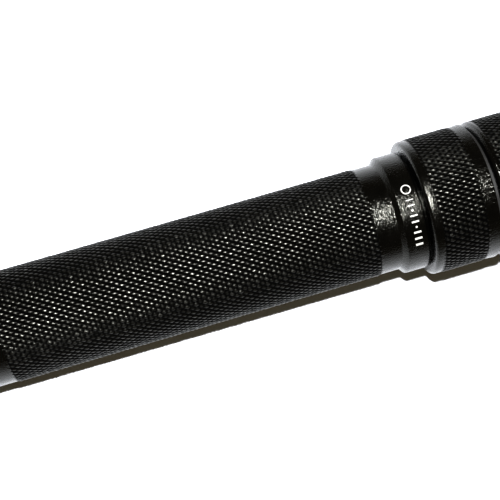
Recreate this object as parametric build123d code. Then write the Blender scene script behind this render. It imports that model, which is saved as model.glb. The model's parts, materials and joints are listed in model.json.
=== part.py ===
from build123d import *

import os
from math import sqrt

# A tactical flashlight with a one-inch body, lying along X with its head towards +X.
# The origin is on the main axis, in the middle of the knurled grip. Millimetres, +Z up.

# ---------------------------------------------------------------- driving dimensions
TUBE_R = 12.7  # one-inch body, the size that ring mounts clamp
GRIP_LENGTH = 86.0  # knurled length of the body
COLLAR_R = 13.8  # smooth collar that carries the selector's scale
RING_R = 16.0  # selector ring and the knurled band of the head
RIM_R = 21.5  # head rim, over the corners between its flats
FLAT_R = 20.5  # from the axis to each anti-roll flat
BEZEL_R = 20.4
TAIL_X = -80.0  # tips of the tail guards
FRONT_X = 115.0  # tips of the strike bezel

CELL_R = 8.5  # lithium cells, 17 mm across
CELL_LENGTH = 34.5
CELL_NAMES = ("battery_rear", "battery_middle", "battery_front")
BORE_R = 9.1  # battery bore

RUN_GAP = 0.06  # radial clearance of a running fit
FACE_GAP = 0.05  # clearance between faces of stacked pieces
TURN_GAP = 0.2  # end clearance of the selector ring

SWITCH_TRAVEL = 1.8  # press of the tail switch
STEM_RESERVE = 1.8  # length of stem that stays in its hole
SELECTOR_POSITIONS = 5
SELECTOR_STEP = 30.0  # degrees between selector positions

# ---------------------------------------------------------------- stations along the main axis
GRIP_END = GRIP_LENGTH / 2
NECK_END = GRIP_END + 4.5
COLLAR_START = NECK_END + 1.1
COLLAR_END = GRIP_END + 10.7
RING_START = COLLAR_END + 0.4
RING_END = COLLAR_END + 16.0
HEAD_START = RING_END + 1.0
CAP_START = -GRIP_END - 5.7  # joint between the body and the tailcap

NECK_R = TUBE_R - 0.2
SEAT_R = 12.6  # bearing surface under the selector ring
HEAD_THREAD_R = 12.0
TAIL_THREAD_R = 11.18
TUBE_REAR = CAP_START - 8.8
TUBE_FRONT = HEAD_START + 6.8
DRIVER_SEAT = RING_START + 5.9  # shoulder that the driver board sits on
DRIVER_POCKET_R = 10.3
BOARD_TOP = DRIVER_SEAT + 1.6  # front face of the driver board
LEAD_Y = 5.2  # distance of each lead from the axis at the driver board

STACK_REAR = CAP_START - 1.8  # rear face of the rearmost cell
STACK_FRONT = STACK_REAR + CELL_LENGTH * len(CELL_NAMES)

O_RING_WIRE = 0.66  # radius of the small seals' section
SEAL_GROOVE = 1.6  # width of their grooves
TAIL_SEAL_X = CAP_START - 1.6
REAR_SEAL_X = RING_START + 1.7
FRONT_SEAL_X = RING_END - 1.9

DETENT_X = RING_START + 4.3
DETENT_BALL_R = 0.9
DETENT_REACH = 0.35  # how far the ball stands above its seat
DETENT_FLOOR_R = 9.9
MAGNET_X = RING_START + 8.2
MAGNET_R = 1.5
MAGNET_TOP_R = 14.6

SWITCH_BORE_R = 10.0
WEB_FRONT = TAIL_X + 8.0  # inner face of the wall that holds the rubber boot
WEB_BACK = TAIL_X + 6.5
BOOT_HOLE_R = 7.0
GUARD_INNER_R = 9.6
BOARD_FRONT = TAIL_X + 18.6
BOARD_BACK = BOARD_FRONT - 1.2
SWITCH_BACK = TAIL_X + 10.0
SWITCH_R = 6.0
STEM_R = 3.1
STEM_END = SWITCH_BACK + STEM_RESERVE + SWITCH_TRAVEL
PAD_R = 4.6  # thumb pad at the end of the stem
BOOT_TOP = TAIL_X + 2.0
BOOT_WALL = 1.3
LANYARD_R = 1.6

PILL_START = TUBE_FRONT + 0.6
PILL_END = PILL_START + 5.9
PILL_R = 13.0
LED_BOARD_END = PILL_END + 1.6
DIE_X = LED_BOARD_END + 1.0  # light-emitting surface, at the reflector's focus
REFLECTOR_START = LED_BOARD_END + 0.6
LENS_START = DIE_X + 17.9
LENS_END = LENS_START + 2.0
REFLECTOR_R = 16.4  # bright opening
LENS_R = 18.8
LENS_SEAT_R = 19.0
RIM_START = FRONT_X - 15.5
RIM_END = FRONT_X - 5.0
BEZEL_INNER_R = 16.6
WIRE_Y = 7.5  # distance of each lead from the axis where it passes the heat sink
SCREW_Z = 8.0  # distance of the light source's two screws from the axis

ALONG_X = Plane.YZ


# ---------------------------------------------------------------- shared shapes
def turned(*outline):
    """The solid turned about the main axis from an outline of (x, radius) points."""
    return revolve(make_face(Plane.XZ * Polyline(*outline, close=True)), Axis.X)


def tube(start, end, inner, outer):
    return turned((start, inner), (end, inner), (end, outer), (start, outer))


def rod(start, end, radius, y=0.0, z=0.0):
    """A round bar parallel to the main axis."""
    return Pos(start, y, z) * extrude(ALONG_X * Circle(radius), end - start)


def block(start, end, width, height, y=0.0, z=0.0):
    """A rectangular block parallel to the main axis."""
    return Pos((start + end) / 2, y, z) * Box(end - start, width, height)


def radial_rod(x, inner, outer, radius, angle=0.0):
    """A round bar that points away from the main axis; angle 0 is straight up."""
    return Rot(angle, 0, 0) * (Pos(x, 0, (inner + outer) / 2) * Cylinder(radius, outer - inner))


def o_ring(x, centre_r, wire_r):
    return Pos(x, 0, 0) * (Rot(0, 90, 0) * Torus(centre_r, wire_r))


def coil(start, end, radius, wire_r, pitch):
    """A compression spring along the main axis that fills the space from start to end."""
    path = Helix(pitch, end - start - 2 * wire_r, radius, (start + wire_r, 0, 0), (1, 0, 0))
    section = Plane(path @ 0, z_dir=path % 0) * Circle(wire_r)
    return sweep(section, path=path, is_frenet=True)


def spanner_notches(x_start, x_end, radius, width=2.0, depth=1.2):
    """Two notches across a threaded ring's face for a pin spanner."""
    return [
        Pos((x_start + x_end) / 2, side * radius, 0) * Box(x_end - x_start, width, 2 * depth)
        for side in (-1, 1)
    ]


# ---------------------------------------------------------------- body
def seal_groove(x, bottom_r):
    return tube(x - SEAL_GROOVE / 2, x + SEAL_GROOVE / 2, bottom_r, TUBE_R + 1)


def body_tube():
    """The body: battery tube, smooth neck, scale collar and the seat of the selector ring."""
    outer = turned(
        (TUBE_REAR, BORE_R),
        (TUBE_REAR, TAIL_THREAD_R - 0.4),
        (TUBE_REAR + 0.4, TAIL_THREAD_R),
        (CAP_START, TAIL_THREAD_R),
        (CAP_START, NECK_R - 0.3),
        (CAP_START + 0.3, NECK_R),
        (-GRIP_END - 0.3, NECK_R),
        (-GRIP_END, TUBE_R),
        (GRIP_END, TUBE_R),
        (GRIP_END + 0.3, NECK_R),
        (NECK_END, NECK_R),
        (COLLAR_START, COLLAR_R),
        (COLLAR_END - 0.3, COLLAR_R),
        (COLLAR_END, COLLAR_R - 0.3),
        (COLLAR_END, SEAT_R),
        (RING_END + 0.15, SEAT_R),
        (RING_END + 0.15, HEAD_THREAD_R),
        (TUBE_FRONT - 0.4, HEAD_THREAD_R),
        (TUBE_FRONT, HEAD_THREAD_R - 0.4),
        (TUBE_FRONT, DRIVER_POCKET_R),
        (DRIVER_SEAT, DRIVER_POCKET_R),
        (DRIVER_SEAT, BORE_R),
    )
    grooves = [
        seal_groove(TAIL_SEAL_X, TAIL_THREAD_R - 2 * O_RING_WIRE),
        seal_groove(REAR_SEAL_X, SEAT_R - 2 * O_RING_WIRE),
        seal_groove(FRONT_SEAL_X, SEAT_R - 2 * O_RING_WIRE),
    ]
    detent_hole = radial_rod(DETENT_X, DETENT_FLOOR_R, TUBE_R + 1, DETENT_BALL_R + 0.05)
    return outer - grooves - detent_hole


def tail_seal():
    return o_ring(TAIL_SEAL_X, TAIL_THREAD_R - O_RING_WIRE, O_RING_WIRE)


def selector_seal_rear():
    return o_ring(REAR_SEAL_X, SEAT_R - O_RING_WIRE, O_RING_WIRE)


def selector_seal_front():
    return o_ring(FRONT_SEAL_X, SEAT_R - O_RING_WIRE, O_RING_WIRE)


def battery(rear):
    """A lithium cell with its raised positive button towards the head."""
    shoulder = rear + CELL_LENGTH - 1.0
    return turned(
        (rear, 0),
        (rear, CELL_R - 0.5),
        (rear + 0.5, CELL_R),
        (shoulder - 0.8, CELL_R),
        (shoulder, CELL_R - 0.8),
        (shoulder, 3.3),
        (rear + CELL_LENGTH - 0.2, 3.3),
        (rear + CELL_LENGTH, 3.1),
        (rear + CELL_LENGTH, 0),
    )


# ---------------------------------------------------------------- selector ring
def selector_ring():
    """The knurled ring that is turned to choose the light level."""
    bore = SEAT_R + RUN_GAP
    shell = turned(
        (RING_START, bore),
        (RING_START + 0.2, 15.3),
        (RING_START + 0.7, 15.7),
        (RING_START + 3.4, RING_R),
        (RING_END - 0.3, RING_R),
        (RING_END, RING_R - 0.3),
        (RING_END, bore),
    )
    detent_track = tube(DETENT_X - 1.1, DETENT_X + 1.1, SEAT_R - 1, SEAT_R + DETENT_REACH + 0.1)
    middle = (SELECTOR_POSITIONS - 1) / 2
    dimples = [
        Rot((index - middle) * SELECTOR_STEP, 0, 0) * (Pos(DETENT_X, 0, SEAT_R - 0.2) * Sphere(1.1))
        for index in range(SELECTOR_POSITIONS)
    ]
    magnet_pocket = radial_rod(MAGNET_X, SEAT_R - 1, MAGNET_TOP_R + 0.05, MAGNET_R + 0.05)
    return shell - detent_track - dimples - magnet_pocket


def selector_magnet():
    return radial_rod(MAGNET_X, MAGNET_TOP_R - 1.6, MAGNET_TOP_R, MAGNET_R)


def detent_ball():
    return Pos(DETENT_X, 0, SEAT_R + DETENT_REACH - DETENT_BALL_R) * Sphere(DETENT_BALL_R)


def detent_spring():
    """The small coil that pushes the detent ball outwards."""
    floor = DETENT_FLOOR_R + FACE_GAP
    top = SEAT_R + DETENT_REACH - 2 * DETENT_BALL_R - FACE_GAP
    upright = coil(floor, top, 0.55, 0.12, 0.42)
    return Pos(DETENT_X, 0, 0) * (Rot(0, -90, 0) * upright)


def glide_washer():
    """The thin washer between the selector ring and the head."""
    return tube(RING_END + TURN_GAP, HEAD_START - FACE_GAP, HEAD_THREAD_R + 0.1, 14.6)


# ---------------------------------------------------------------- driver electronics
def driver_board():
    return rod(DRIVER_SEAT, BOARD_TOP, DRIVER_POCKET_R - 0.1)


def driver_components():
    """The inductor, the regulator and the transistor on the driver board."""
    inductor = fillet(block(BOARD_TOP, BOARD_TOP + 3.0, 5.0, 5.0).edges().filter_by(Axis.X), 1.0)
    regulator = block(BOARD_TOP, BOARD_TOP + 1.1, 3.6, 3.0, z=-5.4)
    transistor = block(BOARD_TOP, BOARD_TOP + 0.9, 2.2, 1.6, y=4.6, z=-4.0)
    return Compound(children=[inductor, regulator, transistor])


def hall_sensor():
    """The magnetic sensor that reads the selector ring's position."""
    return block(BOARD_TOP, BOARD_TOP + 1.0, 3.0, 1.8, z=6.4)


def driver_contact():
    """The coil that meets the front cell's positive button."""
    return coil(STACK_FRONT + FACE_GAP, DRIVER_SEAT - FACE_GAP, 2.6, 0.35, 1.6)


def driver_retaining_ring():
    start = BOARD_TOP + FACE_GAP
    ring = tube(start, start + 2.5, 8.3, DRIVER_POCKET_R - 0.05)
    return ring - spanner_notches(start + 1.3, start + 2.6, 9.3)


def led_lead(side):
    """One insulated lead from the driver board, through the heat sink, to the light source."""
    end = LED_BOARD_END + 0.4
    path = FilletPolyline(
        (BOARD_TOP, side * LEAD_Y, 0),
        (BOARD_TOP + 4.5, side * LEAD_Y, 0),
        (PILL_START - 4.0, side * WIRE_Y, 0),
        (end, side * WIRE_Y, 0),
        radius=5.0,
    )
    return sweep(Plane(path @ 0, z_dir=(1, 0, 0)) * Circle(0.6), path=path)


# ---------------------------------------------------------------- head
def fin_grooves():
    """Cooling grooves behind the flare of the head."""
    first = HEAD_START + 15.4
    return [
        tube(first + index * 2.8, first + index * 2.8 + 1.3, 14.4, RIM_R)
        for index in range(3)
    ]


def head_housing():
    """The head: knurled band, cooling fins, flare and the rim with its anti-roll flats."""
    fins_start = HEAD_START + 13.9
    fins_end = fins_start + 9.9
    fin_r = 16.5
    flare_middle = ((fins_end + RIM_START) / 2 + 0.7, (fin_r + RIM_R) / 2 - 0.9)
    rim_chamfer = 0.8
    section = Polyline(
        (fins_end, fin_r),
        (fins_start, fin_r),
        (fins_start, 15.0),
        (fins_start - 1.3, 15.0),
        (fins_start - 1.9, RING_R - 0.4),
        (fins_start - 2.3, RING_R),
        (HEAD_START + 0.9, RING_R),
        (HEAD_START, 15.1),
        (HEAD_START, HEAD_THREAD_R + RUN_GAP),
        (PILL_START - 0.1, HEAD_THREAD_R + RUN_GAP),
        (PILL_START - 0.1, PILL_R + 0.05),
        (fins_end, PILL_R + 0.05),
        (LENS_START - 2.6, 17.6),
        (LENS_START - 1.6, 17.6),
        (LENS_START - 1.6, LENS_SEAT_R),
        (RIM_END, LENS_SEAT_R),
        (RIM_END, RIM_R - rim_chamfer),
        (RIM_END - rim_chamfer, RIM_R),
        (RIM_START, RIM_R),
    )
    section += ThreePointArc((RIM_START, RIM_R), flare_middle, (fins_end, fin_r))
    shell = revolve(make_face(Plane.XZ * section), Axis.X)
    flats = extrude(
        ALONG_X * RegularPolygon(FLAT_R, 6, major_radius=False), FRONT_X, both=True
    )
    return (shell - fin_grooves()) & flats


def heat_sink():
    """The threaded metal plug that carries the light source's heat to the head."""
    plug = turned(
        (PILL_START, 0),
        (PILL_START, PILL_R - 0.3),
        (PILL_START + 0.3, PILL_R),
        (PILL_END - 0.3, PILL_R),
        (PILL_END, PILL_R - 0.3),
        (PILL_END, 0),
    )
    lead_holes = [rod(PILL_START - 1, PILL_END + 1, 0.9, y=side * WIRE_Y) for side in (-1, 1)]
    screw_holes = [rod(PILL_END - 3.1, PILL_END + 1, 0.8, z=side * SCREW_Z) for side in (-1, 1)]
    return plug - lead_holes - screw_holes


def led_board():
    """The metal-cored board under the light source."""
    board = rod(PILL_END, LED_BOARD_END, 10.0)
    lead_holes = [rod(PILL_END - 1, LED_BOARD_END + 1, 0.8, y=side * WIRE_Y) for side in (-1, 1)]
    screw_holes = [rod(PILL_END - 1, LED_BOARD_END + 1, 0.9, z=side * SCREW_Z) for side in (-1, 1)]
    return board - lead_holes - screw_holes


def led_board_screws():
    screws = []
    for side in (-1, 1):
        shank = rod(PILL_END - 2.9, LED_BOARD_END + 0.1, 0.75, z=side * SCREW_Z)
        head = rod(LED_BOARD_END, LED_BOARD_END + 0.5, 1.4, z=side * SCREW_Z)
        screws.append(shank + head)
    return Compound(children=screws)


def led_emitter():
    """The light source: a square ceramic package under a clear dome."""
    package = block(LED_BOARD_END, LED_BOARD_END + 0.8, 5.0, 5.0)
    dome = Pos(LED_BOARD_END + 0.8, 0, 0) * Sphere(2.1)
    dome = dome & block(LED_BOARD_END + 0.4, LED_BOARD_END + 4, 6, 6)
    return package + dome


def led_centring_ring():
    """The insulating ring that centres the reflector on the light source."""
    start = LED_BOARD_END + 0.05
    ring = turned(
        (start, 3.7), (REFLECTOR_START, 3.7), (REFLECTOR_START, 5.7), (start, 5.7)
    )
    return ring


def reflector():
    """A thin parabolic bowl with its focus at the light source and a flange behind the lens."""
    reach = LENS_START - DIE_X
    focal = (sqrt(reach**2 + REFLECTOR_R**2) - reach) / 2
    vertex = DIE_X - focal
    wall = 1.1

    def bowl_r(x):
        return sqrt(4 * focal * (x - vertex))

    start = REFLECTOR_START + FACE_GAP
    steps = 8
    stations = [start + (LENS_START - start) * index / steps for index in range(steps + 1)]
    inside = [(x, bowl_r(x)) for x in stations]
    outside = [(x, bowl_r(x) + wall) for x in stations[:-1]]
    flange_back = LENS_START - 1.5
    outside_end = (flange_back, bowl_r(flange_back) + wall)
    outline = (
        Spline(*inside)
        + Polyline(inside[-1], (LENS_START, LENS_R), (flange_back, LENS_R), outside_end)
        + Spline(*reversed(outside[:-1] + [outside_end]))
        + Line(outside[0], inside[0])
    )
    return revolve(make_face(Plane.XZ * outline), Axis.X)


def lens():
    edge = 0.3
    return turned(
        (LENS_START, 0),
        (LENS_START, LENS_R - edge),
        (LENS_START + edge, LENS_R),
        (LENS_END - edge, LENS_R),
        (LENS_END, LENS_R - edge),
        (LENS_END, 0),
    )


def lens_gasket():
    return tube(LENS_END, LENS_END + 1.0, BEZEL_INNER_R + 0.6, LENS_R - 0.1)


def bezel_ring():
    """The strike bezel: a threaded ring with six teeth standing ahead of the lens."""
    thread_start = LENS_END + 1.0
    flange = RIM_END + FACE_GAP
    ring = turned(
        (thread_start, BEZEL_INNER_R + 0.6),
        (thread_start + 0.6, BEZEL_INNER_R),
        (FRONT_X - 0.6, BEZEL_INNER_R),
        (FRONT_X, BEZEL_INNER_R + 0.6),
        (FRONT_X, BEZEL_R - 0.6),
        (FRONT_X - 0.6, BEZEL_R),
        (flange, BEZEL_R),
        (flange, LENS_SEAT_R - 0.05),
        (thread_start, LENS_SEAT_R - 0.05),
    )
    notch_depth = 1.8
    notch = Pos(FRONT_X, 0, BEZEL_R - 2) * Box(2 * notch_depth, 7.0, 12.0)
    notch = fillet(notch.edges().filter_by(Axis.Z).sort_by(Axis.X)[:2], 1.0)
    return ring - [Rot(60 * index, 0, 0) * notch for index in range(6)]


# ---------------------------------------------------------------- tailcap and switch
def tailcap():
    """The knurled tailcap with two guards around the switch and a lanyard hole in each."""
    front = CAP_START - 0.15
    ring_front = BOARD_FRONT + 2.8
    shell = turned(
        (front, TAIL_THREAD_R + RUN_GAP),
        (front, TUBE_R - 0.5),
        (front - 0.3, TUBE_R - 0.2),
        (front - 3.2, TUBE_R - 0.2),
        (front - 3.5, TUBE_R),
        (WEB_BACK + 1.3, TUBE_R),
        (WEB_BACK + 1.0, TUBE_R - 0.2),
        (TAIL_X + 0.6, TUBE_R - 0.2),
        (TAIL_X, TUBE_R - 0.8),
        (TAIL_X, GUARD_INNER_R + 0.4),
        (TAIL_X + 0.4, GUARD_INNER_R),
        (WEB_BACK, GUARD_INNER_R),
        (WEB_BACK, BOOT_HOLE_R),
        (WEB_FRONT, BOOT_HOLE_R),
        (WEB_FRONT, SWITCH_BORE_R),
        (ring_front, SWITCH_BORE_R),
        (ring_front, TAIL_THREAD_R + RUN_GAP),
    )
    scallop_depth = WEB_BACK - TAIL_X
    scallop = Pos(TAIL_X, 0, 0) * Box(2 * scallop_depth, 40, 15.0)
    scallop = fillet(scallop.edges().filter_by(Axis.Y).sort_by(Axis.X)[2:], 4.0)
    lanyard_hole = Pos(TAIL_X + 3.2, 0, 0) * Cylinder(LANYARD_R, 40)
    return shell - scallop - lanyard_hole


def switch_retaining_ring():
    end = BOARD_FRONT + 2.75
    ring = tube(BOARD_FRONT + FACE_GAP, end, 7.6, SWITCH_BORE_R - 0.05)
    return ring - spanner_notches(end - 1.3, end + 0.1, 8.9)


def switch_board():
    return rod(BOARD_BACK, BOARD_FRONT, SWITCH_BORE_R - 0.1)


def tail_spring():
    return coil(BOARD_FRONT + 0.1, STACK_REAR - FACE_GAP, 4.4, 0.5, 2.3)


def switch_housing():
    """The click switch's case, with the hole that the stem slides in."""
    case = rod(SWITCH_BACK, BOARD_BACK, SWITCH_R)
    stem_hole = rod(SWITCH_BACK - 1, BOARD_BACK - 1.4, STEM_R + RUN_GAP)
    return case - stem_hole


def switch_carrier():
    """The plastic sleeve that holds the switch central and clamps the rubber boot."""
    return tube(SWITCH_BACK, BOARD_BACK - FACE_GAP, SWITCH_R + 0.05, SWITCH_BORE_R - 0.1)


def boot_washer():
    return tube(SWITCH_BACK - 0.65, SWITCH_BACK - FACE_GAP, 6.3, SWITCH_BORE_R - 0.1)


def switch_stem():
    """The part of the switch that travels: a stem and its wide thumb pad."""
    pad_front = SWITCH_BACK - SWITCH_TRAVEL - 1.4
    pad_back = BOOT_TOP + BOOT_WALL + 0.1
    return turned(
        (STEM_END, 0),
        (STEM_END, STEM_R),
        (pad_front, STEM_R),
        (pad_front, PAD_R),
        (pad_back + 0.8, PAD_R),
        (pad_back, 3.8),
        (pad_back, 0),
    )


def switch_return_spring():
    return coil(STEM_END + FACE_GAP, BOARD_BACK - 1.4 - FACE_GAP, 2.2, 0.25, 0.9)


def switch_boot():
    """The rubber boot: a flange clamped in the tailcap and a domed cover over the stem."""
    flange_front = SWITCH_BACK - 0.7
    flange_back = WEB_FRONT + FACE_GAP
    neck_r = BOOT_HOLE_R - 0.1
    return turned(
        (flange_front, neck_r - BOOT_WALL),
        (flange_front, SWITCH_BORE_R - 0.1),
        (flange_back, SWITCH_BORE_R - 0.1),
        (flange_back, neck_r),
        (BOOT_TOP + 1.4, neck_r),
        (BOOT_TOP + 0.4, neck_r - 1.0),
        (BOOT_TOP, neck_r - 2.6),
        (BOOT_TOP, 0),
        (BOOT_TOP + BOOT_WALL, 0),
        (BOOT_TOP + BOOT_WALL, neck_r - 2.6),
        (BOOT_TOP + BOOT_WALL + 0.9, neck_r - BOOT_WALL),
    )


# ---------------------------------------------------------------- output
NODES = {
    "body_tube": body_tube,
    "tail_seal": tail_seal,
    "selector_seal_rear": selector_seal_rear,
    "selector_seal_front": selector_seal_front,
    "selector_ring": selector_ring,
    "selector_magnet": selector_magnet,
    "detent_ball": detent_ball,
    "detent_spring": detent_spring,
    "glide_washer": glide_washer,
    "driver_board": driver_board,
    "driver_components": driver_components,
    "hall_sensor": hall_sensor,
    "driver_contact": driver_contact,
    "driver_retaining_ring": driver_retaining_ring,
    "head_housing": head_housing,
    "heat_sink": heat_sink,
    "led_board": led_board,
    "led_board_screws": led_board_screws,
    "led_emitter": led_emitter,
    "led_centring_ring": led_centring_ring,
    "reflector": reflector,
    "lens": lens,
    "lens_gasket": lens_gasket,
    "bezel_ring": bezel_ring,
    "tailcap": tailcap,
    "switch_retaining_ring": switch_retaining_ring,
    "switch_board": switch_board,
    "tail_spring": tail_spring,
    "switch_housing": switch_housing,
    "switch_carrier": switch_carrier,
    "boot_washer": boot_washer,
    "switch_stem": switch_stem,
    "switch_return_spring": switch_return_spring,
    "switch_boot": switch_boot,
}


def write_all():
    os.makedirs("parts", exist_ok=True)
    for name, make in NODES.items():
        export_step(make(), f"parts/{name}.step")
    for index, name in enumerate(CELL_NAMES):
        export_step(battery(STACK_REAR + index * CELL_LENGTH), f"parts/{name}.step")
    for name, side in (("led_lead_positive", 1), ("led_lead_negative", -1)):
        export_step(led_lead(side), f"parts/{name}.step")


write_all()
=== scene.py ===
import json
import math

import bmesh
import bpy
import numpy as np
from mathutils import Matrix, Vector


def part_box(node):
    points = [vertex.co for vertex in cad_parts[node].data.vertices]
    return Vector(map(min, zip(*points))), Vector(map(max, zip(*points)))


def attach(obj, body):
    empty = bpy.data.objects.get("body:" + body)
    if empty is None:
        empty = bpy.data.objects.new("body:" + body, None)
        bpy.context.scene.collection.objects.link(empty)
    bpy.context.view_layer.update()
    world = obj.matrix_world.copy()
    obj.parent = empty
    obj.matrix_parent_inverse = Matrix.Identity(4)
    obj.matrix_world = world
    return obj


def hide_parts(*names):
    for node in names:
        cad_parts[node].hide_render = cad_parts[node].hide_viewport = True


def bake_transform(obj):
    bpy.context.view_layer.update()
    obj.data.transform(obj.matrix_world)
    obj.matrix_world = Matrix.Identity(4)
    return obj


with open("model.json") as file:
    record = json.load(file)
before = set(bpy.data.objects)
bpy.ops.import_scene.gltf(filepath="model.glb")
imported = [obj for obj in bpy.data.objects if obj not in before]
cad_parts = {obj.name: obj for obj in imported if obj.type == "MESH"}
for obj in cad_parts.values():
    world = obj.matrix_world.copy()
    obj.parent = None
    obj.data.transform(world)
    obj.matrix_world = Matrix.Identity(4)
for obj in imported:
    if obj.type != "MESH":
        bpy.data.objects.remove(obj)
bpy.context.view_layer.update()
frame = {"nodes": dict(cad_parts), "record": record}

MM = 0.001


# ---------------------------------------------------------------- sizes read from the frame, in millimetres
def low(node, axis):
    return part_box(node)[0][axis] / MM


def high(node, axis):
    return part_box(node)[1][axis] / MM


TUBE_REAR = low("body_tube", 0)
TUBE_FRONT = high("body_tube", 0)
COLLAR_R = high("body_tube", 2)
TUBE_R = high("tailcap", 2)
CAP_START = high("tailcap", 0)
TAIL_X = low("tailcap", 0)
RING_START = low("selector_ring", 0)
RING_END = high("selector_ring", 0)
RING_R = high("selector_ring", 2)
HEAD_START = low("head_housing", 0)
RIM_END = high("head_housing", 0)
RIM_FLAT_R = high("head_housing", 2)
BEZEL_START = low("bezel_ring", 0)
FRONT_X = high("bezel_ring", 0)
BEZEL_R = high("bezel_ring", 1)
BOOT_TOP = low("switch_boot", 0)
BOOT_FLANGE = high("switch_boot", 0)
SWITCH_BORE_R = high("switch_boot", 2) + 0.1
DRIVER_SEAT = RING_START + 5.9

NECK_R = TUBE_R - 0.2
BORE_R = TUBE_R - 3.6
TAIL_THREAD_R = TUBE_R - 1.52
HEAD_THREAD_R = TUBE_R - 0.7
SEAT_R = TUBE_R - 0.1
GRIP_END = RING_START - 11.1  # the frame's origin is in the middle of the knurled grip
COLLAR_START = RING_START - 5.5
COLLAR_END = RING_START - 0.4
RIM_START = RIM_END - 10.5
RIM_R = RIM_FLAT_R + 1.0
FIN_R = RING_R + 0.5
WEB_BACK = TAIL_X + 6.5
WEB_FRONT = TAIL_X + 8.0
GUARD_INNER_R = 9.6  # inside of the guards round the tail switch
BOOT_HOLE_R = 7.0
LANYARD_R = 1.6
HEAT_SINK_BORE_R = 13.05
REFLECTOR_BORE_R = 17.6
LENS_SEAT_R = 19.0
FIN_PITCH = 2.8
FIN_GROOVE = 1.3
FIN_GROOVE_DEPTH = 2.1
RUN_GAP = 0.06  # radial clearance of threads and bearings
RETURN_WIRE_R = 0.25
RETURN_COIL_R = 2.2
RETURN_PITCH = 0.9

# ---------------------------------------------------------------- knurl
KNURL_PITCH = 1.33  # round the surface, one diamond to the next
KNURL_PERIOD = 2.05  # along the axis
KNURL_DEPTH = 0.30
KNURL_RUN_OUT = 0.6
KNURL_STEPS = np.array([0, 0.2, 0.4, 0.5, 0.6, 0.8])  # mesh lines in one diamond
KNURL_SCATTER = 0.08  # how much the diamonds differ in height
# Height of the metal, as a share of the depth, at even steps from a groove line to the middle of a diamond.
FROM_GROOVE = [0, 0.2, 0.4, 0.6, 0.8, 1.0]
FIRST_GROOVES = [0.30, 0.56, 0.75, 0.88, 0.96, 1.0]
SECOND_GROOVES = [0, 0.30, 0.56, 0.78, 0.93, 1.0]  # these are cut deeper


def starts_for(radius):
    """How many diamonds fit round a surface of this radius."""
    return round(2 * math.pi * radius / KNURL_PITCH)


def ring_angles(starts):
    """Angles of the mesh lines round a knurled part, so that they follow its diamonds."""
    shares = (np.arange(starts)[:, None] + KNURL_STEPS[None, :]).ravel() / starts
    return shares * 2 * math.pi


def even_angles(count):
    return np.arange(count) * 2 * math.pi / count


def from_groove(value):
    """Distance to the nearest groove line, as a share of half a diamond."""
    return 2 * np.abs(value - np.round(value))


def knurl_rows(start, end, crest_r, shoulder_r, seed):
    """Rows of (x, radii) for a band of diamond knurl that runs out into a shoulder at both ends."""
    starts = starts_for(crest_r)
    periods = round((end - start) / KNURL_PERIOD)
    period = (end - start) / periods
    across = ring_angles(starts) / (2 * math.pi) * starts
    along = (np.arange(periods)[:, None] + KNURL_STEPS[None, :]).ravel()
    along = np.append(along, periods)
    diamonds = np.random.default_rng(seed).normal(0, KNURL_SCATTER, (starts, starts))
    rows = []
    for step in along:
        height = np.minimum(np.interp(from_groove(across + step), FROM_GROOVE, FIRST_GROOVES),
                            np.interp(from_groove(across - step), FROM_GROOVE, SECOND_GROOVES))
        diamond_u = np.floor(across + step + 1e-6).astype(int) % starts
        diamond_v = np.floor(across - step + 1e-6).astype(int) % starts
        height = np.minimum(height * (1 + diamonds[diamond_u, diamond_v]), 1.0)
        run_out = min(1.0, min(step, periods - step) * period / KNURL_RUN_OUT)
        full = crest_r - KNURL_DEPTH * (1 - height)
        rows.append((start + step * period, shoulder_r + (full - shoulder_r) * run_out))
    return rows


def knurl_diagonals(starts, periods):
    """For each cell of a knurled band, whether its diagonal rises, so that it follows the grooves."""
    middles = (KNURL_STEPS + np.append(KNURL_STEPS[1:], 1.0)) / 2
    half_round = np.floor(2 * (np.arange(starts)[:, None] + middles[None, :]).ravel()).astype(int)
    half_along = np.floor(2 * (np.arange(periods)[:, None] + middles[None, :]).ravel()).astype(int)
    return (half_along[:, None] + half_round[None, :]) % 2 == 0


# ---------------------------------------------------------------- turned meshes
def chamfered(outline, size, closed=False):
    """The outline with each corner cut off by a small chamfer; the ends of an open outline stay."""
    points = [Vector(p) for p in outline]
    broken = []
    for i, corner in enumerate(points):
        if not closed and i in (0, len(points) - 1):
            broken.append(tuple(corner))
            continue
        before = points[i - 1] - corner
        after = points[(i + 1) % len(points)] - corner
        reach = min(size, 0.4 * before.length, 0.4 * after.length)
        broken.append(tuple(corner + before.normalized() * reach))
        broken.append(tuple(corner + after.normalized() * reach))
    return broken


def arc_through(a, middle, b, count):
    """Points of the arc from a through middle to b."""
    (ax, ay), (mx, my), (bx, by) = a, middle, b
    twice_area = 2 * (ax * (my - by) + mx * (by - ay) + bx * (ay - my))
    aa, mm, bb = ax**2 + ay**2, mx**2 + my**2, bx**2 + by**2
    cx = (aa * (my - by) + mm * (by - ay) + bb * (ay - my)) / twice_area
    cy = (aa * (bx - mx) + mm * (ax - bx) + bb * (mx - ax)) / twice_area
    radius = math.hypot(ax - cx, ay - cy)
    first = math.atan2(ay - cy, ax - cx)
    sweep = math.atan2(by - cy, bx - cx) - first
    sweep = (sweep + math.pi) % (2 * math.pi) - math.pi
    turns = [first + sweep * k / count for k in range(count + 1)]
    return [(cx + radius * math.cos(turn), cy + radius * math.sin(turn)) for turn in turns]


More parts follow.
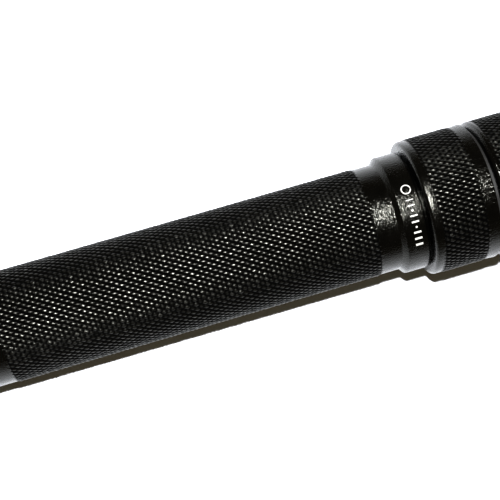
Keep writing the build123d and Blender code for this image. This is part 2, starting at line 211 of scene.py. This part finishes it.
def mesh_object(name, points, faces, smooth_below=35.0):
    """A mesh object from points in millimetres, smooth where its faces meet at less than an angle."""
    mesh = bpy.data.meshes.new(name)
    mesh.from_pydata([(x * MM, y * MM, z * MM) for x, y, z in points], [], faces)
    work = bmesh.new()
    work.from_mesh(mesh)
    bmesh.ops.remove_doubles(work, verts=work.verts, dist=1e-8)
    bmesh.ops.dissolve_degenerate(work, edges=work.edges, dist=1e-9)
    work.to_mesh(mesh)
    work.free()
    mesh.shade_smooth()
    mesh.set_sharp_from_angle(angle=math.radians(smooth_below))
    piece = bpy.data.objects.new(name, mesh)
    bpy.context.scene.collection.objects.link(piece)
    return piece


def level_normals(piece):
    """Leaves wide faces truly flat or round, and the narrow broken edges between them to bend the light."""
    step = piece.modifiers.new("normals", "WEIGHTED_NORMAL")
    step.keep_sharp = True
    apply_modifiers(piece)


def turned(name, rows, angles, diagonals=None, smooth_below=35.0):
    """A closed turned mesh from a loop of rows (x, radius or radii), walked with the axis on the right."""
    count = len(angles)
    points = np.empty((len(rows), count, 3))
    for i, (x, radii) in enumerate(rows):
        points[i, :, 0] = x
        points[i, :, 1] = -np.sin(angles) * radii
        points[i, :, 2] = np.cos(angles) * radii
    faces = []
    here = np.arange(count)
    following = (here + 1) % count
    for i in range(len(rows)):
        j = (i + 1) % len(rows)
        corners = (i * count + here, i * count + following, j * count + following, j * count + here)
        a, b, c, d = corners
        rising = (diagonals or {}).get(i)
        if rising is None:
            faces += np.stack(corners, 1).tolist()
        else:
            faces += np.stack([a, b, c], 1)[rising].tolist()
            faces += np.stack([a, c, d], 1)[rising].tolist()
            faces += np.stack([a, b, d], 1)[~rising].tolist()
            faces += np.stack([b, c, d], 1)[~rising].tolist()
    return mesh_object(name, points.reshape(-1, 3).tolist(), faces, smooth_below)


def turned_with_knurl(name, band, outline, seed, limit=None):
    """A turned part: a knurled band (start, end, crest_r, shoulder_r), then the outline back to its start."""
    start, end, crest_r, shoulder_r = band
    starts = starts_for(crest_r)
    knurled = knurl_rows(start, end, crest_r, shoulder_r, seed)
    pattern = knurl_diagonals(starts, (len(knurled) - 1) // len(KNURL_STEPS))
    angles = ring_angles(starts)
    plain = outline if limit is None else [(x, np.minimum(r, limit(angles))) for x, r in outline]
    return turned(name, knurled + plain, angles, dict(enumerate(pattern)), 45)


def prism_faces(count):
    """Faces of a closed prism whose two ends have this many points each."""
    faces = [(k, (k + 1) % count, count + (k + 1) % count, count + k) for k in range(count)]
    return faces + [tuple(reversed(range(count))), tuple(range(count, 2 * count))]


def upright_cylinder(radius, bottom, top, x, count=48):
    """A closed cylinder along Z, for cutting."""
    angles = even_angles(count)
    points = [(x + radius * math.cos(a), radius * math.sin(a), z) for z in (bottom, top) for a in angles]
    return mesh_object("cutter", points, prism_faces(count))


def rounded_slot(width, bottom, top, corner_r, reach, steps=6):
    """A closed prism for cutting a slot along Y: width across Z, with two rounded corners at its bottom."""
    half = width / 2
    side = []
    for k in range(steps + 1):
        angle = math.pi / 2 * k / steps
        side.append((bottom + math.copysign(corner_r * (1 - math.cos(angle)), top - bottom),
                     half - corner_r + corner_r * math.sin(angle)))
    profile = side + [(top, half), (top, -half)] + [(x, -z) for x, z in reversed(side)]
    points = [(x, y, z) for y in (-reach, reach) for x, z in profile]
    return mesh_object("cutter", points, prism_faces(len(profile)))


def cut(piece, cutters, edge=0.12):
    """Cuts the cutters out of the piece and breaks the edges that this leaves."""
    kept = bpy.data.materials.new("kept")
    new = bpy.data.materials.new("new")
    piece.data.materials.append(kept)
    for cutter in cutters:
        cutter.data.materials.append(new)
        work = bmesh.new()
        work.from_mesh(cutter.data)
        bmesh.ops.recalc_face_normals(work, faces=work.faces)
        work.to_mesh(cutter.data)
        work.free()
        step = piece.modifiers.new("cut", "BOOLEAN")
        step.operation = "DIFFERENCE"
        step.solver = "EXACT"
        step.material_mode = "TRANSFER"
        step.object = cutter
        apply_modifiers(piece)
        mesh = cutter.data
        bpy.data.objects.remove(cutter)
        bpy.data.meshes.remove(mesh)
    work = bmesh.new()
    work.from_mesh(piece.data)
    names = [m.name for m in piece.data.materials]
    fresh = names.index(new.name)
    rim = [e for e in work.edges if len({f.material_index == fresh for f in e.link_faces}) == 2]
    bmesh.ops.bevel(
        work, geom=rim, offset=edge * MM, segments=2, profile=0.5, affect="EDGES", clamp_overlap=True
    )
    for face in work.faces:
        face.smooth = True
        face.material_index = 0
    work.to_mesh(piece.data)
    work.free()
    piece.data.materials.clear()
    piece.data.set_sharp_from_angle(angle=math.radians(35))
    return piece


def apply_modifiers(piece):
    bpy.context.view_layer.update()
    shown = piece.evaluated_get(bpy.context.evaluated_depsgraph_get())
    made = bpy.data.meshes.new_from_object(shown)
    old = piece.data
    piece.modifiers.clear()
    piece.data = made
    bpy.data.meshes.remove(old)


# ---------------------------------------------------------------- materials
def material(name):
    made = bpy.data.materials.new(name)
    made.use_nodes = True
    nodes = made.node_tree.nodes
    nodes.clear()
    output = nodes.new("ShaderNodeOutputMaterial")
    shader = nodes.new("ShaderNodeBsdfPrincipled")
    made.node_tree.links.new(shader.outputs["BSDF"], output.inputs["Surface"])
    return made, shader


class Nodes:
    """Short helpers for one material's node tree."""

    def __init__(self, made):
        self.tree = made.node_tree
        self.coords = self.add("ShaderNodeTexCoord")
        self.place = self.coords.outputs["Object"]

    def add(self, kind, **values):
        node = self.tree.nodes.new(kind)
        for key, value in values.items():
            setattr(node, key, value)
        return node

    def link(self, source, target):
        self.tree.links.new(source, target)

    def noise(self, size, detail=2.0, stretch=1.0):
        """Noise whose lumps are about this many millimetres along the axis and stretched across it."""
        squeezed = self.add("ShaderNodeVectorMath", operation="MULTIPLY")
        squeezed.inputs[1].default_value = (1, 1 / stretch, 1 / stretch)
        self.link(self.place, squeezed.inputs[0])
        node = self.add("ShaderNodeTexNoise")
        node.inputs["Scale"].default_value = 1 / (size * MM)
        node.inputs["Detail"].default_value = detail
        self.link(squeezed.outputs["Vector"], node.inputs["Vector"])
        return node.outputs["Fac"]

    def spread(self, source, from_low, from_high, to_low, to_high):
        node = self.add("ShaderNodeMapRange")
        node.inputs["From Min"].default_value = from_low
        node.inputs["From Max"].default_value = from_high
        node.inputs["To Min"].default_value = to_low
        node.inputs["To Max"].default_value = to_high
        self.link(source, node.inputs["Value"])
        return node.outputs["Result"]

    def colours(self, share, first, second):
        node = self.add("ShaderNodeMix", data_type="RGBA")
        node.inputs["A"].default_value = (*first, 1)
        node.inputs["B"].default_value = (*second, 1)
        self.link(share, node.inputs["Factor"])
        return node.outputs["Result"]

    def bump(self, height, depth):
        """A bump of this many millimetres from a height between 0 and 1."""
        node = self.add("ShaderNodeBump")
        node.inputs["Distance"].default_value = depth * MM
        self.link(height, node.inputs["Height"])
        return node.outputs["Normal"]


# Two shades of the dye that the noise mixes, and the slight warmth of its gloss.
BLACK_DYE = ((0.0008, 0.0008, 0.0009), (0.0016, 0.0016, 0.0015))
WARM_GLOSS = (1.0, 1.0, 0.92, 1)


def anodised(name, refraction, rough, grain_depth, grain_size):
    """Hard black anodising: fine blasted grain under a dyed layer."""
    made, shader = material(name)
    n = Nodes(made)
    shader.inputs["IOR"].default_value = refraction
    shader.inputs["Specular Tint"].default_value = WARM_GLOSS
    n.link(n.colours(n.noise(11, 3), *BLACK_DYE), shader.inputs["Base Color"])
    n.link(n.spread(n.noise(2.5, 3), 0.3, 0.7, rough - 0.04, rough + 0.05), shader.inputs["Roughness"])
    n.link(n.bump(n.noise(grain_size, 1, stretch=1.3), grain_depth), shader.inputs["Normal"])
    return made


def worn_knurl(name, crest_r):
    """Black anodised knurl: matt in its grooves, rubbed smooth on the crests, which reach out to crest_r."""
    made, shader = material(name)
    n = Nodes(made)
    split = n.add("ShaderNodeSeparateXYZ")
    n.link(n.place, split.inputs["Vector"])
    flat = n.add("ShaderNodeCombineXYZ")
    n.link(split.outputs["Y"], flat.inputs["Y"])
    n.link(split.outputs["Z"], flat.inputs["Z"])
    radius = n.add("ShaderNodeVectorMath", operation="LENGTH")
    n.link(flat.outputs["Vector"], radius.inputs[0])
    crest = n.spread(radius.outputs["Value"], (crest_r - 0.45 * KNURL_DEPTH) * MM, crest_r * MM, 0, 1)
    shader.inputs["IOR"].default_value = 1.5
    shader.inputs["Specular Tint"].default_value = WARM_GLOSS
    n.link(n.colours(n.noise(11, 3), *BLACK_DYE), shader.inputs["Base Color"])
    n.link(n.spread(crest, 0.0, 0.8, 0.45, 0.33), shader.inputs["Roughness"])
    n.link(n.spread(crest, 0.0, 0.8, 0.08, 0.72), shader.inputs["Specular IOR Level"])
    n.link(n.bump(n.noise(0.7, 2), 0.13), shader.inputs["Normal"])
    return made


def common(name, first, second, rough, size=2.0, metallic=0.0, grain=0.006, grain_size=0.3):
    """A mottled everyday material for the smaller pieces."""
    made, shader = material(name)
    n = Nodes(made)
    shader.inputs["Metallic"].default_value = metallic
    n.link(n.colours(n.noise(size, 3), first, second), shader.inputs["Base Color"])
    n.link(n.spread(n.noise(size / 2), 0.3, 0.7, rough - 0.05, rough + 0.05), shader.inputs["Roughness"])
    n.link(n.bump(n.noise(grain_size), grain), shader.inputs["Normal"])
    return made


def lens_glass():
    """Coated mineral glass: clear, with a faint film of dust."""
    made, shader = material("lens_glass_clear")
    n = Nodes(made)
    shader.inputs["Transmission Weight"].default_value = 1.0
    shader.inputs["IOR"].default_value = 1.45
    shader.inputs["Base Color"].default_value = (0.97, 0.99, 0.98, 1)
    n.link(n.spread(n.noise(8), 0.45, 0.7, 0.0, 0.05), shader.inputs["Roughness"])
    return made


SMOOTH_BLACK = anodised("smooth_anodising", 1.44, 0.21, 0.095, 0.25)
TUBE_KNURL = worn_knurl("worn_tube_knurl", TUBE_R)
RING_KNURL = worn_knurl("worn_ring_knurl", RING_R)
BOOT_RUBBER = common("moulded_rubber", (0.012, 0.012, 0.013), (0.022, 0.021, 0.021), 0.62, 3.0)
MARKING = common("etched_mark", (0.36, 0.36, 0.35), (0.52, 0.52, 0.50), 0.55, 0.4)

FINISHES = {
    "black_anodised": SMOOTH_BLACK,
    "bare_aluminium": common("machined_aluminium", (0.70, 0.70, 0.71), (0.80, 0.80, 0.81), 0.30, 2.0, 1.0),
    "reflector_mirror": common(
        "metallised_mirror", (0.88, 0.89, 0.90), (0.92, 0.93, 0.94), 0.08, 4.0, 1.0, 0.002, 1.0
    ),
    "board_white": common("white_solder_mask", (0.74, 0.75, 0.73), (0.82, 0.82, 0.80), 0.40),
    "seal_rubber": common("seal_rubber", (0.010, 0.010, 0.011), (0.020, 0.020, 0.020), 0.50),
    "boot_rubber": BOOT_RUBBER,
    "nickel": common("nickel_plate", (0.62, 0.60, 0.55), (0.70, 0.68, 0.63), 0.22, 2.0, 1.0),
    "bearing_steel": common("bearing_steel", (0.55, 0.56, 0.57), (0.62, 0.62, 0.63), 0.15, 1.0, 1.0),
    "spring_steel": common("spring_steel", (0.38, 0.37, 0.36), (0.48, 0.47, 0.45), 0.32, 1.0, 1.0),
    "brass": common("brass", (0.72, 0.52, 0.24), (0.80, 0.60, 0.30), 0.28, 2.0, 1.0),
    "gold_contact": common("gold_plate", (0.90, 0.68, 0.32), (0.95, 0.74, 0.38), 0.20, 1.0, 1.0),
    "glide_plastic": common("glide_plastic", (0.016, 0.016, 0.016), (0.026, 0.026, 0.026), 0.45),
    "carrier_plastic": common("carrier_plastic", (0.020, 0.020, 0.021), (0.035, 0.034, 0.034), 0.50),
    "component_black": common("component_moulding", (0.015, 0.015, 0.016), (0.028, 0.028, 0.028), 0.45, 0.8),
    "circuit_board": common("green_solder_mask", (0.010, 0.085, 0.035), (0.018, 0.12, 0.05), 0.35, 1.5),
    "phosphor": common("led_phosphor", (0.85, 0.66, 0.10), (0.92, 0.76, 0.22), 0.35, 0.5),
    "lens_glass": lens_glass(),
    "cell_wrap": common("cell_wrap", (0.06, 0.10, 0.20), (0.08, 0.13, 0.25), 0.35, 6.0),
    "lead_red": common("red_insulation", (0.42, 0.02, 0.015), (0.52, 0.03, 0.02), 0.40),
    "lead_black": common("black_insulation", (0.012, 0.012, 0.012), (0.024, 0.024, 0.024), 0.40),
}


def finish_cad_nodes():
    """Gives each CAD node the material of its slot in the record."""
    for part in frame["record"]["subparts"]:
        piece = frame["nodes"][part["node"]]
        piece.data.materials.clear()
        piece.data.materials.append(FINISHES[part["material_slot"]])


def dress(piece, body, node, slot, *materials):
    """The piece stands for a CAD node, rides on its body and takes these materials."""
    level_normals(piece)
    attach(piece, body)
    if node:
        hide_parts(node)
    for made in materials:
        piece.data.materials.append(made)
    return piece


def mark_knurl(piece, start, end, r):
    """Gives the faces of a knurled band the piece's second material."""
    middles = np.empty(len(piece.data.polygons) * 3)
    piece.data.polygons.foreach_get("center", middles)
    x, y, z = middles.reshape(-1, 3).T / MM
    inside = (x > start + 0.3) & (x < end - 0.3) & (np.hypot(y, z) > r - 0.6)
    piece.data.polygons.foreach_set("material_index", inside.astype(np.int32))


# ---------------------------------------------------------------- the turned parts
def make_body():
    band = (-GRIP_END, GRIP_END, TUBE_R, NECK_R)
    front = chamfered([
        (GRIP_END + 0.3, NECK_R),
        (COLLAR_START - 1.1, NECK_R),
        (COLLAR_START, COLLAR_R),
        (COLLAR_END - 0.3, COLLAR_R),
        (COLLAR_END, COLLAR_R - 0.3),
        (COLLAR_END, SEAT_R),
    ], 0.12)
    inside = [
        (RING_END + 0.15, SEAT_R),
        (RING_END + 0.15, HEAD_THREAD_R),
        (TUBE_FRONT, HEAD_THREAD_R),
        (TUBE_FRONT, TUBE_R - 2.4),
        (DRIVER_SEAT, TUBE_R - 2.4),
        (DRIVER_SEAT, BORE_R),
        (TUBE_REAR, BORE_R),
        (TUBE_REAR, TAIL_THREAD_R),
        (CAP_START + 0.15, TAIL_THREAD_R),
    ]
    rear = [
        (CAP_START + 0.15, NECK_R - 0.3),
        (CAP_START + 0.45, NECK_R),
        (-GRIP_END - 0.3, NECK_R),
    ]
    piece = turned_with_knurl("body_shell", band, front + inside + rear, seed=11)
    dress(piece, "light", "body_tube", "black_anodised", SMOOTH_BLACK, TUBE_KNURL)
    mark_knurl(piece, -GRIP_END, GRIP_END, TUBE_R)


def make_selector_ring():
    start = RING_START + 2.0
    end = RING_START + 13.1
    bore_r = SEAT_R + RUN_GAP
    track_start = low("detent_ball", 0) - 0.2
    track_end = high("detent_ball", 0) + 0.2
    track_r = high("detent_ball", 2) + 0.1
    outline = chamfered([
        (end + 0.2, RING_R - 0.15),
        (RING_END - 0.15, RING_R),
        (RING_END, RING_R - 0.15),
        (RING_END, bore_r),
        (track_end, bore_r),
        (track_end, track_r),
        (track_start, track_r),
        (track_start, bore_r),
        (RING_START, bore_r),
        (RING_START + 0.2, RING_R - 0.7),
        (RING_START + 0.75, RING_R - 0.15),
        (start - 0.1, RING_R - 0.15),
    ], 0.15)
    piece = turned_with_knurl("selector_shell", (start, end, RING_R, RING_R - 0.15), outline, seed=12)
    dress(piece, "selector", "selector_ring", "black_anodised", SMOOTH_BLACK, RING_KNURL)
    mark_knurl(piece, start, end, RING_R)


def rim_limit(angles):
    """Radius of the rim's six flats, two of them square to Z."""
    from_flat = np.abs((angles + math.pi / 6) % (math.pi / 3) - math.pi / 6)
    return RIM_FLAT_R / np.cos(from_flat)


def make_head():
    start = HEAD_START + 1.3
    end = HEAD_START + 9.1
    fins = []
    for k in range(3):
        near = HEAD_START + 15.4 + FIN_PITCH * k
        far = near + FIN_GROOVE
        floor_r = FIN_R - FIN_GROOVE_DEPTH
        fins += [(near, FIN_R), (near, floor_r), (far, floor_r), (far, FIN_R)]
    flare_start = RIM_START - 5.0
    flare = arc_through((flare_start, FIN_R), (RIM_START - 1.8, FIN_R + 1.6), (RIM_START, RIM_R), 10)
    shoulder = chamfered([
        (end + 0.1, RING_R),
        (HEAD_START + 11.6, RING_R),
        (HEAD_START + 12.0, RING_R - 0.4),
        (HEAD_START + 12.6, RING_R - 1.0),
        (HEAD_START + 13.9, RING_R - 1.0),
        (HEAD_START + 13.9, FIN_R),
        *fins,
        flare[0],
    ], 0.10)
    rim = chamfered([flare[-1], (RIM_END - 0.8, RIM_R), (RIM_END, RIM_R - 0.8), (RIM_END, LENS_SEAT_R)], 0.10)
    inside = [
        (RIM_START + 3.4, LENS_SEAT_R),
        (RIM_START + 3.4, REFLECTOR_BORE_R),
        (RIM_START + 2.4, REFLECTOR_BORE_R),
        (flare_start, HEAT_SINK_BORE_R),
        (HEAD_START + 7.3, HEAT_SINK_BORE_R),
        (HEAD_START + 7.3, HEAD_THREAD_R + RUN_GAP),
        (HEAD_START, HEAD_THREAD_R + RUN_GAP),
    ]
    rear = chamfered([
        (HEAD_START, HEAD_THREAD_R + 0.5),
        (HEAD_START, RING_R - 0.9),
        (HEAD_START + 0.9, RING_R),
        (start - 0.1, RING_R),
    ], 0.12)
    outline = shoulder + flare[1:-1] + rim + inside + rear
    piece = turned_with_knurl("head_shell", (start, end, RING_R, RING_R), outline, seed=13, limit=rim_limit)
    dress(piece, "light", "head_housing", "black_anodised", SMOOTH_BLACK, RING_KNURL)
    mark_knurl(piece, start, end, RING_R)


def make_tailcap():
    start = WEB_BACK + 1.2
    end = CAP_START - 3.4
    outline = chamfered([
        (end + 0.2, NECK_R),
        (CAP_START - 0.3, NECK_R),
        (CAP_START, NECK_R - 0.3),
        (CAP_START, TAIL_THREAD_R + RUN_GAP),
        (TUBE_REAR - 1.1, TAIL_THREAD_R + RUN_GAP),
        (TUBE_REAR - 1.1, SWITCH_BORE_R),
        (WEB_FRONT, SWITCH_BORE_R),
        (WEB_FRONT, BOOT_HOLE_R),
        (WEB_BACK, BOOT_HOLE_R),
        (WEB_BACK, GUARD_INNER_R),
        (TAIL_X + 0.4, GUARD_INNER_R),
        (TAIL_X, GUARD_INNER_R + 0.4),
        (TAIL_X, NECK_R - 0.6),
        (TAIL_X + 0.6, NECK_R),
        (start - 0.2, NECK_R),
    ], 0.12)
    piece = turned_with_knurl("tailcap_shell", (start, end, TUBE_R, NECK_R), outline, seed=14)
    scallop = rounded_slot(15, WEB_BACK, TAIL_X - 2, 4.0, 20)
    lanyard = upright_cylinder(LANYARD_R, -20, 20, TAIL_X + 3.2)
    cut(piece, [scallop, lanyard])
    dress(piece, "tailcap", "tailcap", "black_anodised", SMOOTH_BLACK, TUBE_KNURL)
    mark_knurl(piece, start, end, TUBE_R)


def make_bezel():
    outline = chamfered([
        (BEZEL_START + 0.4, BEZEL_R - 1.45),
        (RIM_END + 0.05, BEZEL_R - 1.45),
        (RIM_END + 0.05, BEZEL_R - 0.3),
        (RIM_END + 0.35, BEZEL_R),
        (FRONT_X - 0.6, BEZEL_R),
        (FRONT_X, BEZEL_R - 0.6),
        (FRONT_X, BEZEL_R - 3.2),
        (FRONT_X - 0.6, BEZEL_R - 3.8),
        (BEZEL_START, BEZEL_R - 3.8),
        (BEZEL_START, BEZEL_R - 1.85),
    ], 0.12, closed=True)
    piece = turned("bezel_shell", outline, even_angles(240))
    cutters = []
    for k in range(3):
        slot = rounded_slot(7, FRONT_X - 1.8, FRONT_X + 2, 1.0, 30)
        slot.data.transform(Matrix.Rotation(math.radians(60 * k + 90), 4, "X"))
        cutters.append(slot)
    cut(piece, cutters, 0.15)
    dress(piece, "light", "bezel_ring", "black_anodised", SMOOTH_BLACK)


def make_boot():
    """The rubber boot: a flange clamped in the tailcap and a dome over the stem, with a raised ring."""
    flange_back = WEB_FRONT + 0.05
    neck_r = 6.9
    wall = 0.8
    dome = arc_through(
        (BOOT_TOP + 1.8, neck_r), (BOOT_TOP + 0.5, neck_r - 1.1), (BOOT_TOP + 0.12, neck_r - 2.9), 8
    )
    outline = [
        (flange_back, SWITCH_BORE_R - 0.1),
        (flange_back, neck_r),
        *dome,
        (BOOT_TOP, neck_r - 3.1),
        (BOOT_TOP, neck_r - 3.5),
        (BOOT_TOP + 0.12, neck_r - 3.7),
        (BOOT_TOP + 0.10, 1.5),
        (BOOT_TOP + 0.10, 0.0),
        (BOOT_TOP + wall, 0.0),
        (BOOT_TOP + wall, neck_r - 2.9),
        (BOOT_TOP + wall + 1.0, neck_r - wall),
        (BOOT_FLANGE, neck_r - wall),
        (BOOT_FLANGE, SWITCH_BORE_R - 0.1),
    ]
    piece = turned("boot_shell", list(reversed(outline)), even_angles(120))
    piece.data.materials.append(BOOT_RUBBER)
    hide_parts("switch_boot")
    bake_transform(piece)


def make_return_spring():
    """The switch's return spring: a fixed coil of round wire in the CAD spring's place, between the stem and
    the switch board.
    """
    start = low("switch_return_spring", 0)
    end = high("switch_return_spring", 0)
    length = end - start - 2 * RETURN_WIRE_R
    steps_a_turn = 24
    steps = steps_a_turn * round(length / RETURN_PITCH)
    sides = even_angles(10)
    points = []
    for k in range(steps + 1):
        x = start + RETURN_WIRE_R + length * k / steps
        around = 2 * math.pi * k / steps_a_turn
        for side in sides:
            r = RETURN_COIL_R + RETURN_WIRE_R * math.cos(side)
            points.append((x + RETURN_WIRE_R * math.sin(side), -math.sin(around) * r, math.cos(around) * r))
    count = len(sides)
    faces = []
    for k in range(steps):
        here = k * count
        following = here + count
        for i in range(count):
            j = (i + 1) % count
            faces.append((here + i, here + j, following + j, following + i))
    faces += [tuple(reversed(range(count))), tuple(range(steps * count, (steps + 1) * count))]
    piece = mesh_object("return_spring_coil", points, faces)
    piece.data.materials.append(FINISHES["spring_steel"])
    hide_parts("switch_return_spring")
    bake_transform(piece)


# ---------------------------------------------------------------- the camera's place, in the row frame
LEAN = math.atan((RIM_FLAT_R - NECK_R) / (RIM_START - TAIL_X))  # the light lies on its rim and its tail
TABLE_UP = Vector((math.sin(LEAN), 0, math.cos(LEAN)))
IMAGE_TURN = math.radians(16.17)  # the axis runs up to the right across the picture
HEAD_AWAY = math.radians(4.6)
AROUND = math.radians(5.0)  # the camera looks from a little in front of straight above


def camera_axes():
    """The camera's right, up and back directions in the row frame."""
    along = Vector((math.cos(HEAD_AWAY) * math.cos(IMAGE_TURN),
                    math.cos(HEAD_AWAY) * math.sin(IMAGE_TURN),
                    -math.sin(HEAD_AWAY)))
    facing = Vector((0, 0, 1))
    facing = (facing - along * facing.dot(along)).normalized()
    up = facing * math.cos(AROUND) + facing.cross(along) * math.sin(AROUND)
    return Matrix((along, up.cross(along), up)).transposed()


RIGHT, UP, BACK = camera_axes()
AIM = Vector((14.0, 0, 0)) * MM
EYE = AIM + (RIGHT * 1.10 + UP * 1.67 + BACK * 265.5) * MM
CAMERA_ANGLE = math.atan2(-EYE.y, EYE.z)  # where on the surface the camera looks squarely


def make_camera():
    camera = bpy.data.objects.new("camera", bpy.data.cameras.new("camera"))
    camera.data.sensor_width = 36
    camera.data.lens = 83.5
    camera.data.clip_start = 0.01
    camera.data.clip_end = 20
    turn = Matrix((RIGHT, UP, BACK)).transposed()
    camera.matrix_world = Matrix.Translation(EYE) @ turn.to_4x4()
    bpy.context.scene.collection.objects.link(camera)
    bpy.context.scene.camera = camera


# ---------------------------------------------------------------- marks on the collar
def collar_marks():
    """A generic scale round the collar: an open ring, then dots between bars that grow wider."""
    points = []
    faces = []
    middle_x = (COLLAR_START + COLLAR_END) / 2 + 0.1
    half = 0.85  # of a bar's height
    gap = 1.02  # from one mark to the next, round the collar

    def add_strip(inner, outer):
        """A closed thin ribbon between two lines of (x, angle) of the same length."""
        first = len(points)
        count = len(inner)
        for r in (COLLAR_R - 0.02, COLLAR_R + 0.012):
            for line in (inner, outer):
                points.extend((x, -math.sin(a) * r, math.cos(a) * r) for x, a in line)
        for k in range(count - 1):
            low_in, low_out, top_in, top_out = (first + count * j + k for j in range(4))
            faces.append((top_in, top_in + 1, top_out + 1, top_out))
            faces.append((low_out, low_out + 1, low_in + 1, low_in))
            faces.append((low_in, low_in + 1, top_in + 1, top_in))
            faces.append((top_out, top_out + 1, low_out + 1, low_out))
        if inner[0] != inner[-1]:
            for k in (0, count - 1):
                low_in, low_out, top_in, top_out = (first + count * j + k for j in range(4))
                faces.append((low_in, top_in, top_out, low_out))

    def bar(angle, width):
        spread = width / COLLAR_R / 2
        line = np.linspace(angle - spread, angle + spread, 4)
        add_strip([(middle_x - half, a) for a in line], [(middle_x + half, a) for a in line])

    def ring(angle, outer_r, inner_r):
        turns = np.linspace(0, 2 * math.pi, 33)
        inner = [(middle_x + inner_r * math.cos(t), angle + inner_r * math.sin(t) / COLLAR_R) for t in turns]
        outer = [(middle_x + outer_r * math.cos(t), angle + outer_r * math.sin(t) / COLLAR_R) for t in turns]
        add_strip(inner, outer)

    angle = CAMERA_ANGLE - math.radians(19)
    ring(angle, 1.15, 0.87)
    angle += 2.4 / COLLAR_R
    width = 0.22
    for group in range(3):
        for _ in range(2 + group // 2):
            bar(angle + width / 2 / COLLAR_R, width)
            angle += (width + gap) / COLLAR_R
            width += 0.06
        if group < 2:
            ring(angle, 0.25, 0.02)
            angle += gap / COLLAR_R
    piece = mesh_object("collar_marks", points, faces)
    dress(piece, "light", None, "board_white", MARKING)


# ---------------------------------------------------------------- table and lights
def make_table():
    """The pale table top under the rim and the tail."""
    touch = Vector((TAIL_X, 0, -NECK_R)) * MM
    size = 3.0
    side = TABLE_UP.orthogonal().normalized()
    other = TABLE_UP.cross(side)
    middle = touch - TABLE_UP * 0.0003
    signs = ((-1, -1), (1, -1), (1, 1), (-1, 1))
    corners = [middle + side * (size * u) + other * (size * v) for u, v in signs]
    mesh = bpy.data.meshes.new("table_top")
    mesh.from_pydata([tuple(c) for c in corners], [], [(0, 1, 2, 3)])
    table = bpy.data.objects.new("table_top", mesh)
    bpy.context.scene.collection.objects.link(table)
    made, shader = material("pale_table")
    n = Nodes(made)
    n.link(n.colours(n.noise(30), (0.81, 0.84, 0.89), (0.85, 0.87, 0.92)), shader.inputs["Base Color"])
    shader.inputs["Roughness"].default_value = 0.8
    shader.inputs["Specular IOR Level"].default_value = 0.1
    mesh.materials.append(made)


def make_room():
    """The dim room round the table: paler low down than overhead."""
    world = bpy.data.worlds.new("room")
    world.use_nodes = True
    n = Nodes(world)
    split = n.add("ShaderNodeSeparateXYZ")
    n.link(n.coords.outputs["Generated"], split.inputs["Vector"])
    background = world.node_tree.nodes["Background"]
    background.inputs["Color"].default_value = (1.0, 0.85, 0.57, 1)
    n.link(n.spread(split.outputs["Z"], 0.0, 0.4, 0.24, 0.12), background.inputs["Strength"])
    bpy.context.scene.world = world


def make_lights():
    flash = bpy.data.lights.new("flash", "SPOT")
    flash.shadow_soft_size = 5 * MM
    flash.spot_size = math.radians(130)
    flash.spot_blend = 1.0
    flash.energy = 6.2
    lamp = bpy.data.objects.new("flash", flash)
    place = EYE + UP * 32 * MM
    turn = (AIM - place).to_track_quat("-Z", "Y")
    lamp.matrix_world = Matrix.Translation(place) @ turn.to_matrix().to_4x4()
    bpy.context.scene.collection.objects.link(lamp)
    make_room()
    bpy.context.scene.view_settings.view_transform = "Standard"
    bpy.context.scene.view_settings.look = "High Contrast"


make_body()
make_selector_ring()
make_head()
make_tailcap()
make_bezel()
make_boot()
make_return_spring()
finish_cad_nodes()
collar_marks()
make_table()
make_lights()
make_camera()
